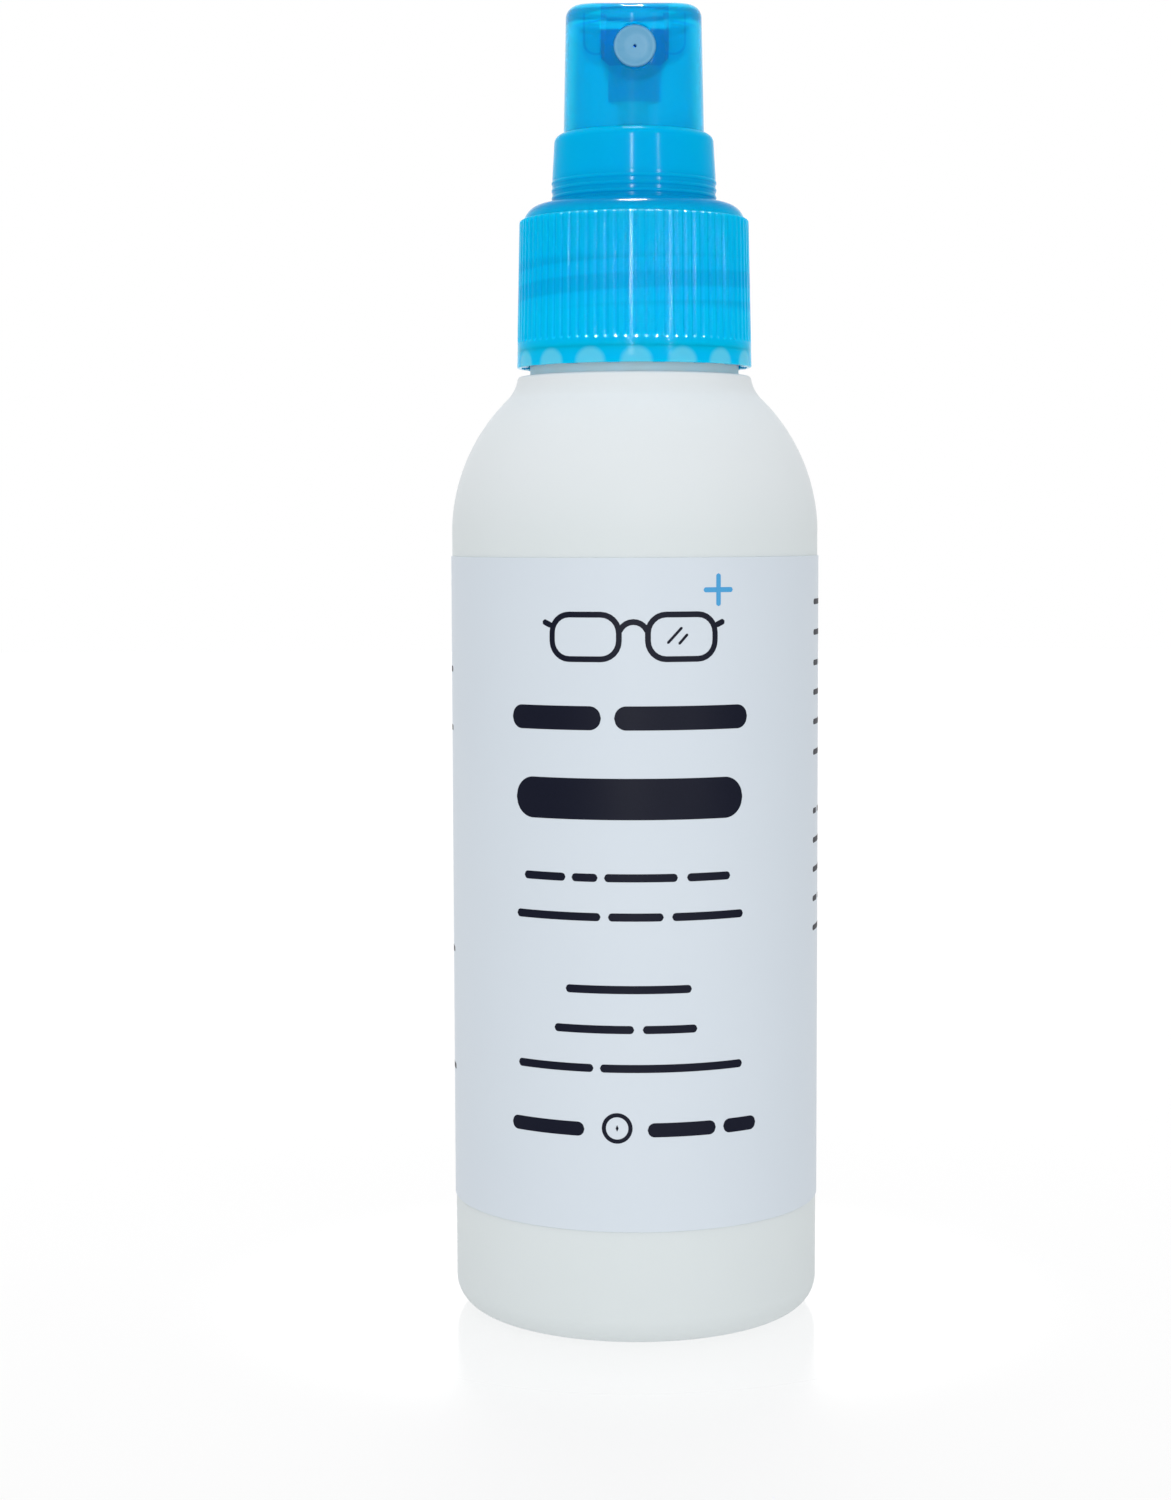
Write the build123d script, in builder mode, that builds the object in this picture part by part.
"""Fine-mist pump spray bottle for lens cleaning liquid, nominal 100 ml.

Millimetres, +Z up. The origin is the middle of the face that the bottle stands on, and the spray
leaves towards -Y. Each separate physical piece is its own part and its own file in parts/.
"""
import os
from math import asin, atan2, cos, degrees, radians, sin, sqrt

from build123d import *

os.makedirs("parts", exist_ok=True)

cut_over = 0.8           # how far a cut reaches past what it cuts

# ---- driving dimensions: bottle ----
body_r = 20.0            # outside radius of the straight body
wall = 0.95              # blow-moulded wall
heel_r = 3.2             # outside heel radius
heel_inner_r = 2.55      # inside heel radius
standing_in_r = 15.4     # inner edge of the standing ring
push_up = 1.5            # rise of the concave base at its middle
base_wall = 1.1          # wall at the standing ring
base_middle_wall = 1.3   # wall at the middle of the base
shoulder_z = 86.217      # where the straight body ends
shoulder_r1 = 8.0        # first, tight shoulder arc
shoulder_turn1 = 3.695   # its turn in degrees
shoulder_r2 = 20.438     # second, long shoulder arc
collar_r = 12.7          # where the hollow shoulder arc would turn vertical
collar_arc_r = 4.0       # radius of that hollow arc
collar_top_z = 102.16    # where the hollow arc meets the shoulder's rounded rim
rim_r = 0.4              # rounded rim of the shoulder
neck_bead_r = 11.37      # neck ring under the closure
neck_bead_top = 103.9
neck_bead_chamfer = 0.25
neck_root_chamfer = 0.35
neck_root_r = 10.15      # outside of the neck between the threads
neck_bore_r = 8.8
neck_arc_inner_r = 5.0   # hollow arc inside the neck's root
lip_z = 118.0
lip_chamfer = 0.4        # outer edge of the lip
lip_inner_chamfer = 0.2

# ---- driving dimensions: screw thread of neck and closure ----
pitch = 3.175
turns = 1.5
thread_bottom_z = 111.2  # middle of the neck thread where it starts
thread_crest_r = 11.2    # neck thread
cap_thread_crest_r = 10.45
thread_root_width = 2.0
thread_crest_width = 0.9
thread_sink = 0.2        # how far a thread's root is sunk into its wall

# ---- driving dimensions: label ----
label_bottom = 12.55
label_top = 83.05
label_thickness = 0.12
label_seam = 1.2         # gap between the label's two ends, at the back
label_seam_depth = 4.0   # depth of the cut that makes the gap

# ---- driving dimensions: closure ----
cap_bottom = 103.45
cap_r_bottom = 12.80     # plain band at the rim, in line with the ribs' crests
cap_r_top = 12.455       # the ribs' crests at their top
rib_count = 75
rib_r = 0.3              # radius of a rib's round section
rib_sink = 0.02          # how far a rib's crest lies under the band's cone
rib_top = 119.35
groove_bottom = 105.9    # where the grooves between the ribs run out into the band
groove_r_bottom = 12.45
groove_r_top = 12.25
groove_top = 118.9
roundover_start_r = 12.05
roundover_start_z = 119.1
roundover_r = 2.2
cap_top = 121.0
cap_inner_r = 11.45
cap_counterbore_r = 11.75
cap_counterbore_top = 105.0
cap_ceiling = 119.83
cap_hole_r = 6.4
pocket_count = 16
pocket_width = 2.8
pocket_height = 1.55
pocket_floor_r = 12.3
pocket_straight = 0.15   # straight part of a pocket, above the rim
turret_r = 8.88
turret_bend_z = 123.9    # where the turret starts to taper
turret_r_top = 8.66
turret_edge_z = 127.6    # where its rounded edge starts
turret_edge_r = 0.95
turret_bore_r = 7.95
turret_land = 0.1        # between the rounded edge and the bore
ring_count = 3           # fine retention rings round the foot of the turret
ring_pitch = 0.8
ring_first_z = 121.7
ring_section_r = 0.3
ring_height = 0.09

# ---- driving dimensions: pump ----
lip_gap = 0.03           # running gap between faces that turn on each other
gasket_top = 118.8
gasket_in_r = 7.8
gasket_out_r = 10.0
flange_top = 119.8
flange_r = 9.9
cup_out_r = 7.6
cup_in_r = 6.0
cup_bottom = 111.0
cup_floor = 112.2
cylinder_out_r = 4.2
cylinder_r = 3.0
cylinder_floor = 91.8
cylinder_end = 90.6
chamber_out_r = 3.0
chamber_r = 1.7
chamber_top = 91.45
chamber_hole_r = 1.4
seat_bottom = 88.6
inlet_r = 0.9
tail_out_r = 2.7
tail_shoulder = 87.5
tube_stop = 87.2
tail_bottom = 80.0
tube_r = 1.9
tube_bore_r = 1.2
tube_bottom = 3.6
tube_cut_angle = 30
ball_r = 1.5
ball_z = 89.87
vent_r = 0.45
vent_z = 107.5
tail_chamfer = 0.3
cylinder_chamfer = 0.6   # also the cup's lower edge
cup_gusset = 1.0         # slope between the cylinder and the cup

retainer_top = 121.2
retainer_top_r = 6.2
retainer_sleeve_in_r = 5.0
retainer_skirt_in_r = 2.1
retainer_skirt_r = 2.8
retainer_skirt_end = 110.7
retainer_chamfer = 0.3
retainer_web = 0.4       # plate under the flange's level, between sleeve and skirt
guide_r = 1.77           # running fit on the stem

stem_r = 1.7
stem_bore_r = 0.9
stem_bottom = 105.2
stem_top = 134.6
stem_port_r = 0.4
stem_port_z = 107.0
stem_chamfer = 0.3

rod_plug_top = 106.4
rod_cone_top = 104.66
rod_cone_bottom = 103.8
rod_cone_r = 2.4
rod_neck_r = 1.6
rod_flange_top = 102.6
rod_flange_bottom = 101.8
rod_flange_r = 2.6
rod_tail_r = 1.2
rod_bottom = 98.5
rod_chamfer = 0.4
rod_cone_lip = 0.3       # height of the slope under the cone

piston_bottom = 104.6
piston_top = 110.0
piston_lip_r = 2.95
piston_waist_r = 2.6
piston_slide_r = 1.77
piston_recess_r = 2.15
lip_length = 0.8
lip_ramp = 0.3

spring_wire_r = 0.25
spring_mean_r = 2.2
spring_turns = 7
spring_gap = 0.02        # clearance at each end

# ---- driving dimensions: push button and insert ----
button_bottom = 126.2
button_r_bottom = 7.69
button_r_top = 7.32
button_top = 142.9       # before the finger groove is cut
groove_r = 26.0          # finger groove, front to back
groove_z = 141.5         # its lowest line
button_edge_r = 1.25
button_wall = 1.15
button_ceiling = 140.1
ceiling_chamfer = 0.5
root_sink = 0.3          # how far the parts inside are sunk into the ceiling
nozzle_z = 136.9
boss_r = 3.6
boss_back = 2.9          # half depth of the boss behind the axis plane
socket_r = 2.8
socket_bottom = 132.1
socket_bore_r = 1.75     # running fit on the stem
socket_end_gap = 0.05    # above the stem's end
passage_r = 0.8
web_half_width = 5.45
web_thickness = 1.0
web_bottom = 136.1
web_corner_r = 1.5
insert_r = 2.25
insert_face_y = 7.2
insert_length = 2.95
mouth_depth = 0.05       # how far behind the insert's face its flared mouth starts
mouth_angle = 40
post_r = 1.25            # post inside the insert
post_gap = 0.5           # between the post's end and the insert's front wall
insert_wall = 0.6
orifice_r = 0.15
dimple_r = 0.4
dimple_depth = 0.2


def thread_section(root_r, crest_r, root_width, crest_width):
    """Corners of a thread's section: x is the radius, y runs along the axis."""
    return [
        (root_r, -root_width / 2),
        (crest_r, -crest_width / 2),
        (crest_r, crest_width / 2),
        (root_r, root_width / 2),
    ]


def cone_radius(z, z1, r1, z2, r2):
    """Radius at height z of a cone through (r1, z1) and (r2, z2)."""
    return r1 + (r2 - r1) * (z - z1) / (z2 - z1)


# ---- bottle: blow-moulded shell of revolution with a screw neck ----
# The hollow arc of the collar touches the long shoulder arc: its centre is one sum of radii away.
long_cx = body_r - shoulder_r1 - (shoulder_r2 - shoulder_r1) * cos(radians(shoulder_turn1))
long_cz = shoulder_z - (shoulder_r2 - shoulder_r1) * sin(radians(shoulder_turn1))
collar_dx = collar_r + collar_arc_r - long_cx
collar_dz = sqrt((shoulder_r2 + collar_arc_r) ** 2 - collar_dx**2)
collar_cz = long_cz + collar_dz
touch_angle = degrees(atan2(collar_dz, collar_dx))
collar_end_angle = degrees(asin((collar_cz - collar_top_z) / collar_arc_r))
inner_r1 = shoulder_r1 - wall
inner_r2 = shoulder_r2 - wall
inner_dx = neck_bore_r + neck_arc_inner_r - long_cx
inner_touch = degrees(atan2(sqrt((inner_r2 + neck_arc_inner_r) ** 2 - inner_dx**2), inner_dx))

with BuildPart() as bottle:
    with BuildSketch(Plane.XZ):
        with BuildLine():
            base = TangentArc((0, push_up), (standing_in_r, 0), tangent=(1, 0))
            ring = Line(base @ 1, (body_r - heel_r, 0))
            heel = TangentArc(ring @ 1, (body_r, heel_r), tangent=(1, 0))
            side = Line(heel @ 1, (body_r, shoulder_z))
            s1 = JernArc(side @ 1, (0, 1), shoulder_r1, shoulder_turn1)
            s2 = JernArc(s1 @ 1, s1 % 1, shoulder_r2, touch_angle - shoulder_turn1)
            s3 = JernArc(s2 @ 1, s2 % 1, collar_arc_r, collar_end_angle - touch_angle)
            s4 = JernArc(s3 @ 1, s3 % 1, rim_r, 90 - collar_end_angle)
            land_z = (s4 @ 1).Y
            neck = Polyline(
                s4 @ 1,
                (neck_bead_r, land_z),
                (neck_bead_r, neck_bead_top - neck_bead_chamfer),
                (neck_bead_r - neck_bead_chamfer, neck_bead_top),
                (neck_root_r + neck_root_chamfer, neck_bead_top),
                (neck_root_r, neck_bead_top + neck_root_chamfer),
                (neck_root_r, lip_z - lip_chamfer),
                (neck_root_r - lip_chamfer, lip_z),
                (neck_bore_r + lip_inner_chamfer, lip_z),
                (neck_bore_r, lip_z - lip_inner_chamfer),
            )
            floor = TangentArc((0, push_up + base_middle_wall), (standing_in_r, base_wall), tangent=(1, 0))
            pad = Line(floor @ 1, (body_r - wall - heel_inner_r, base_wall))
            corner = (body_r - wall, base_wall + heel_inner_r)
            inner_heel = TangentArc(pad @ 1, corner, tangent=(1, 0))
            inner_side = Line(inner_heel @ 1, (body_r - wall, shoulder_z))
            i1 = JernArc(inner_side @ 1, (0, 1), inner_r1, shoulder_turn1)
            i2 = JernArc(i1 @ 1, i1 % 1, inner_r2, inner_touch - shoulder_turn1)
            i3 = JernArc(i2 @ 1, i2 % 1, neck_arc_inner_r, -inner_touch)
            Line(i3 @ 1, neck @ 1)
            Line(base @ 0, floor @ 0)
        make_face()
    revolve(axis=Axis.Z)
    neck_helix = Helix(pitch, pitch * turns, neck_root_r, center=(0, 0, thread_bottom_z))
    with BuildSketch(Plane(origin=(0, 0, thread_bottom_z), x_dir=(1, 0, 0), z_dir=(0, -1, 0))):
        with BuildLine():
            Polyline(
                *thread_section(
                    neck_root_r - thread_sink, thread_crest_r, thread_root_width, thread_crest_width
                ),
                close=True,
            )
        make_face()
    sweep(path=neck_helix, is_frenet=True)
bottle.part.label = "bottle"
export_step(bottle.part, "parts/bottle.step")


# ---- label: thin film wrapped round the body, its ends meeting at the back ----
with BuildPart() as label:
    with BuildSketch(Plane.XY.offset(label_bottom)):
        Circle(body_r + label_thickness)
        Circle(body_r, mode=Mode.SUBTRACT)
        with Locations((0, body_r)):
            Rectangle(label_seam, label_seam_depth, mode=Mode.SUBTRACT)
    extrude(amount=label_top - label_bottom)
label.part.label = "label"
export_step(label.part, "parts/label.step")


# ---- closure: ribbed screw cap with rim pockets, ceiling and smooth turret ----
roundover_c = roundover_start_r - sqrt(roundover_r**2 - (roundover_start_z - cap_top + roundover_r) ** 2)
band_top_r = cone_radius(groove_bottom, cap_bottom, cap_r_bottom, rib_top, cap_r_top)
rib_lean = degrees(atan2(cap_r_bottom - cap_r_top, rib_top - cap_bottom))
rib_start = groove_bottom - rib_r
rib_length = rib_top - rib_r - rib_start
rib_axis_r = cone_radius(rib_start, cap_bottom, cap_r_bottom, rib_top, cap_r_top) - rib_sink - rib_r
turret_land_r = turret_bore_r + turret_land
turret_edge_c = turret_r_top - turret_edge_r
turret_top = turret_edge_z + sqrt(turret_edge_r**2 - (turret_land_r - turret_edge_c) ** 2)

rib_bar = Cylinder(rib_r, rib_length, align=(Align.CENTER, Align.CENTER, Align.MIN))
rib_bar += Pos(0, 0, rib_length) * Sphere(rib_r)
rib = Pos(0, -rib_axis_r, rib_start) * Rot(-rib_lean, 0, 0) * rib_bar

with BuildPart() as closure:
    with BuildSketch(Plane.XZ):
        with BuildLine():
            skirt = Polyline(
                (cap_counterbore_r, cap_bottom),
                (cap_r_bottom, cap_bottom),
                (band_top_r, groove_bottom),
                (groove_r_bottom, groove_bottom + band_top_r - groove_r_bottom),
                (groove_r_top, groove_top),
                (roundover_start_r, roundover_start_z),
            )
            crown = RadiusArc(skirt @ 1, (roundover_c, cap_top), -roundover_r)
            turret = Polyline(
                crown @ 1,
                (turret_r, cap_top),
                (turret_r, turret_bend_z),
                (turret_r_top, turret_edge_z),
            )
            edge = RadiusArc(turret @ 1, (turret_land_r, turret_top), -turret_edge_r)
            Polyline(
                edge @ 1,
                (turret_bore_r, turret_top),
                (turret_bore_r, cap_top),
                (cap_hole_r, cap_top),
                (cap_hole_r, cap_ceiling),
                (cap_inner_r, cap_ceiling),
                (cap_inner_r, cap_counterbore_top),
                (cap_counterbore_r, cap_counterbore_top),
                skirt @ 0,
            )
        make_face()
    revolve(axis=Axis.Z)
    cap_thread_z = thread_bottom_z - pitch / 2
    cap_helix = Helix(pitch, pitch * turns, cap_inner_r, center=(0, 0, cap_thread_z))
    with BuildSketch(Plane(origin=(0, 0, cap_thread_z), x_dir=(1, 0, 0), z_dir=(0, -1, 0))):
        with BuildLine():
            Polyline(
                *thread_section(
                    cap_inner_r + thread_sink, cap_thread_crest_r, thread_root_width, thread_crest_width
                ),
                close=True,
            )
        make_face()
    sweep(path=cap_helix, is_frenet=True)
    # Fine retention rings round the foot of the turret.
    with BuildSketch(Plane.XZ):
        for index in range(ring_count):
            ring_z = ring_first_z + index * ring_pitch
            with Locations((turret_r + ring_height - ring_section_r, ring_z)):
                Circle(ring_section_r)
    revolve(axis=Axis.Z)
    # Pockets inside the rim, one facing the front.
    pocket_start = cap_inner_r - cut_over
    with BuildSketch(Plane.XZ.offset(pocket_start)) as pocket_outline:
        with Locations((0, cap_bottom - cut_over)):
            Rectangle(pocket_width, cut_over + pocket_straight, align=(Align.CENTER, Align.MIN))
        with Locations((0, cap_bottom + pocket_straight)):
            Ellipse(pocket_width / 2, pocket_height - pocket_straight)
    pocket = extrude(pocket_outline.sketch, pocket_floor_r - pocket_start, mode=Mode.PRIVATE)
    with PolarLocations(0, pocket_count):
        add(pocket, mode=Mode.SUBTRACT)
    # Grip ribs: round bars that rise out of the grooved skirt and run into the band below.
    with PolarLocations(0, rib_count):
        add(rib)
closure.part.label = "closure"
export_step(closure.part, "parts/closure.step")


# ---- gasket: soft washer between the lip and the pump's flange ----
with BuildPart() as gasket:
    with BuildSketch(Plane.XY.offset(lip_z + lip_gap)):
        Circle(gasket_out_r)
        Circle(gasket_in_r, mode=Mode.SUBTRACT)
    extrude(amount=gasket_top - lip_z - lip_gap)
gasket.part.label = "gasket"
export_step(gasket.part, "parts/gasket.step")


# ---- pump housing: flange, cup, cylinder, inlet-valve chamber and tail ----
with BuildPart() as pump_housing:
    with BuildSketch(Plane.XZ):
        with BuildLine():
            Polyline(
                (flange_r, gasket_top),
                (flange_r, flange_top),
                (cup_in_r, flange_top),
                (cup_in_r, cup_floor),
                (cylinder_r, cup_floor),
                (cylinder_r, cylinder_floor),
                (chamber_hole_r, cylinder_floor),
                (chamber_hole_r, chamber_top),
                (chamber_r, chamber_top),
                (chamber_r, seat_bottom + chamber_r - inlet_r),
                (inlet_r, seat_bottom),
                (inlet_r, tube_stop),
                (tube_r, tube_stop),
                (tube_r, tail_bottom),
                (tail_out_r, tail_bottom),
                (tail_out_r, tail_shoulder),
                (chamber_out_r, tail_shoulder + tail_chamfer),
                (chamber_out_r, cylinder_end - cylinder_chamfer),
                (cylinder_out_r, cylinder_end + cylinder_chamfer),
                (cylinder_out_r, cup_bottom - cup_gusset),
                (cylinder_out_r + cup_gusset, cup_bottom),
                (cup_out_r - cylinder_chamfer, cup_bottom),
                (cup_out_r, cup_bottom + cylinder_chamfer),
                (cup_out_r, gasket_top),
                close=True,
            )
        make_face()
    revolve(axis=Axis.Z)
    # Air vent through one side of the cylinder, open to the bottle.
    with BuildSketch(Plane.YZ.offset(cylinder_r - cut_over)):
        with Locations((0, vent_z)):
            Circle(vent_r)
    extrude(amount=cylinder_out_r - cylinder_r + 2 * cut_over, mode=Mode.SUBTRACT)
pump_housing.part.label = "pump_housing"
export_step(pump_housing.part, "parts/pump_housing.step")


# ---- retainer: ring snapped into the cup, guiding the stem ----
with BuildPart() as retainer:
    with BuildSketch(Plane.XZ):
        with BuildLine():
            Polyline(
                (guide_r, flange_top),
                (guide_r, retainer_top - retainer_chamfer),
                (guide_r + retainer_chamfer, retainer_top),
                (retainer_top_r - retainer_chamfer, retainer_top),
                (retainer_top_r, retainer_top - retainer_chamfer),
                (retainer_top_r, flange_top),
                (cup_in_r, flange_top),
                (cup_in_r, cup_floor),
                (retainer_sleeve_in_r, cup_floor),
                (retainer_sleeve_in_r, flange_top - retainer_web),
                (retainer_skirt_r, flange_top - retainer_web),
                (retainer_skirt_r, retainer_skirt_end),
                (retainer_skirt_in_r, retainer_skirt_end),
                (retainer_skirt_in_r, flange_top),
                close=True,
            )
        make_face()
    revolve(axis=Axis.Z)
retainer.part.label = "retainer"
export_step(retainer.part, "parts/retainer.step")


# ---- stem: hollow tube that carries the push button, with two side ports ----
with BuildPart() as stem:
    with BuildSketch(Plane.XY.offset(stem_bottom)):
        Circle(stem_r)
        Circle(stem_bore_r, mode=Mode.SUBTRACT)
    extrude(amount=stem_top - stem_bottom)
    chamfer(stem.faces().sort_by(Axis.Z)[-1].edges().sort_by(SortBy.RADIUS)[-1], stem_chamfer)
    with BuildSketch(Plane.YZ):
        with Locations((0, stem_port_z)):
            Circle(stem_port_r)
    extrude(amount=stem_r + cut_over, both=True, mode=Mode.SUBTRACT)
stem.part.label = "stem"
export_step(stem.part, "parts/stem.step")


# ---- valve rod: plugs the stem's lower end, closes the piston and carries the spring ----
with BuildPart() as valve_rod:
    with BuildSketch(Plane.XZ):
        with BuildLine():
            Polyline(
                (0, rod_bottom),
                (rod_tail_r - rod_chamfer, rod_bottom),
                (rod_tail_r, rod_bottom + rod_chamfer),
                (rod_tail_r, rod_flange_bottom),
                (rod_flange_r, rod_flange_bottom),
                (rod_flange_r, rod_flange_top),
                (rod_neck_r, rod_flange_top),
                (rod_neck_r, rod_cone_bottom - rod_cone_lip),
                (rod_cone_r, rod_cone_bottom),
                (stem_r, rod_cone_top),
                (stem_r, stem_bottom),
                (stem_bore_r, stem_bottom),
                (stem_bore_r, rod_plug_top),
                (0, rod_plug_top),
                close=True,
            )
        make_face()
    revolve(axis=Axis.Z)
valve_rod.part.label = "valve_rod"
export_step(valve_rod.part, "parts/valve_rod.step")


# ---- piston: sliding seal with a lip at each end and a recess round the stem's ports ----
with BuildPart() as piston:
    with BuildSketch(Plane.XZ):
        with BuildLine():
            Polyline(
                (piston_slide_r, piston_bottom),
                (piston_slide_r, piston_bottom + lip_length),
                (piston_recess_r, piston_bottom + lip_length + lip_ramp),
                (piston_recess_r, piston_top - lip_length - lip_ramp),
                (piston_slide_r, piston_top - lip_length),
                (piston_slide_r, piston_top),
                (piston_lip_r, piston_top),
                (piston_lip_r, piston_top - lip_length),
                (piston_waist_r, piston_top - lip_length - lip_ramp),
                (piston_waist_r, piston_bottom + lip_length + lip_ramp),
                (piston_lip_r, piston_bottom + lip_length),
                (piston_lip_r, piston_bottom),
                close=True,
            )
        make_face()
    revolve(axis=Axis.Z)
piston.part.label = "piston"
export_step(piston.part, "parts/piston.step")


# ---- return spring: coil between the cylinder's floor and the rod's flange ----
spring_bottom = cylinder_floor + spring_wire_r + spring_gap
spring_top = rod_flange_bottom - spring_wire_r - spring_gap
spring_rise = spring_top - spring_bottom
with BuildPart() as return_spring:
    coil = Helix(spring_rise / spring_turns, spring_rise, spring_mean_r, center=(0, 0, spring_bottom))
    with BuildSketch(Plane(origin=coil @ 0, x_dir=(1, 0, 0), z_dir=coil % 0)):
        Circle(spring_wire_r)
    sweep(path=coil, is_frenet=True)
return_spring.part.label = "return_spring"
export_step(return_spring.part, "parts/return_spring.step")


# ---- inlet ball ----
with BuildPart() as inlet_ball:
    with Locations((0, 0, ball_z)):
        Sphere(ball_r)
inlet_ball.part.label = "inlet_ball"
export_step(inlet_ball.part, "parts/inlet_ball.step")


# ---- dip tube: cut at a slant at its lower end ----
with BuildPart() as dip_tube:
    with BuildSketch(Plane.XY.offset(tube_bottom)):
        Circle(tube_r)
        Circle(tube_bore_r, mode=Mode.SUBTRACT)
    extrude(amount=tube_stop - tube_bottom)
    slant = Plane(origin=(-tube_r, 0, tube_bottom)).rotated((0, -tube_cut_angle, 0))
    split(bisect_by=slant, keep=Keep.TOP)
dip_tube.part.label = "dip_tube"
export_step(dip_tube.part, "parts/dip_tube.step")


# ---- push button: tapered cap with a finger groove, nozzle boss, stem socket and web ----
nozzle_plane = Plane(origin=(0, 0, nozzle_z), x_dir=(1, 0, 0), z_dir=(0, -1, 0))
with BuildPart() as actuator:
    with BuildSketch(Plane.XZ):
        with BuildLine():
            Polyline(
                (0, button_bottom),
                (button_r_bottom, button_bottom),
                (button_r_top, button_top),
                (0, button_top),
                close=True,
            )
        make_face()
    revolve(axis=Axis.Z)
    with BuildSketch(Plane.XZ):
        with Locations((0, groove_z + groove_r)):
            Circle(groove_r)
    extrude(amount=button_r_bottom + cut_over, both=True, mode=Mode.SUBTRACT)
    rim_edges = actuator.faces().sort_by(Axis.Z)[-1].edges()
    fillet(rim_edges, button_edge_r)
    # The hollow inside, open at the bottom.
    with BuildSketch(Plane.XZ):
        with BuildLine():
            Polyline(
                (0, button_bottom - cut_over),
                (button_r_bottom - button_wall, button_bottom - cut_over),
                (button_r_bottom - button_wall, button_bottom),
                (button_r_top - button_wall, button_ceiling - ceiling_chamfer),
                (button_r_top - button_wall - ceiling_chamfer, button_ceiling),
                (0, button_ceiling),
                close=True,
            )
        make_face()
    revolve(axis=Axis.Z, mode=Mode.SUBTRACT)
    # Inside, everything is cut to the tapered outside before it joins the cap.
    with BuildSketch(nozzle_plane.offset(-boss_back)):
        Circle(boss_r)
        Rectangle(2 * boss_r, button_ceiling - nozzle_z + root_sink, align=(Align.CENTER, Align.MIN))
    extrude(amount=boss_back + button_r_top - button_wall / 2)
    with BuildSketch(Plane.XY.offset(socket_bottom)):
        Circle(socket_r)
    extrude(amount=button_ceiling + root_sink - socket_bottom)
    with BuildSketch(Plane.XZ):
        with Locations((0, (web_bottom + button_ceiling + root_sink) / 2)):
            RectangleRounded(2 * web_half_width, button_ceiling + root_sink - web_bottom, web_corner_r)
    extrude(amount=web_thickness / 2, both=True)
    # Bores: stem socket, riser, cross passage and the insert's ring-shaped seat round its post.
    with BuildSketch(Plane.XY.offset(socket_bottom)):
        Circle(socket_bore_r)
    extrude(amount=stem_top + socket_end_gap - socket_bottom, mode=Mode.SUBTRACT)
    with BuildSketch(Plane.XY.offset(stem_top)):
        Circle(passage_r)
    extrude(amount=nozzle_z - stem_top, mode=Mode.SUBTRACT)
    insert_back_y = insert_face_y - insert_length
    with BuildSketch(nozzle_plane.offset(insert_back_y)):
        Circle(insert_r)
        Circle(post_r, mode=Mode.SUBTRACT)
    extrude(amount=button_r_bottom - insert_back_y, mode=Mode.SUBTRACT)
    with BuildSketch(nozzle_plane.offset(insert_face_y - insert_wall - post_gap)):
        Circle(insert_r)
    extrude(amount=button_r_bottom, mode=Mode.SUBTRACT)
    with BuildSketch(nozzle_plane.offset(insert_face_y - mouth_depth)):
        Circle(insert_r)
    extrude(amount=2 * insert_wall, taper=-mouth_angle, mode=Mode.SUBTRACT)
actuator.part.label = "actuator"
export_step(actuator.part, "parts/actuator.step")


# ---- nozzle insert: clear cup over the post, with a dimple round its orifice ----
with BuildPart() as nozzle_insert:
    with BuildSketch(nozzle_plane.offset(insert_back_y)):
        Circle(insert_r)
    extrude(amount=insert_length)
    with BuildSketch(nozzle_plane.offset(insert_back_y)):
        Circle(post_r)
    extrude(amount=insert_length - insert_wall, mode=Mode.SUBTRACT)
    with BuildSketch(nozzle_plane.offset(insert_back_y)):
        Circle(orifice_r)
    extrude(amount=insert_length, mode=Mode.SUBTRACT)
    with BuildSketch(nozzle_plane.offset(insert_face_y - dimple_depth)):
        Circle(dimple_r)
    extrude(amount=dimple_depth, mode=Mode.SUBTRACT)
nozzle_insert.part.label = "nozzle_insert"
export_step(nozzle_insert.part, "parts/nozzle_insert.step")
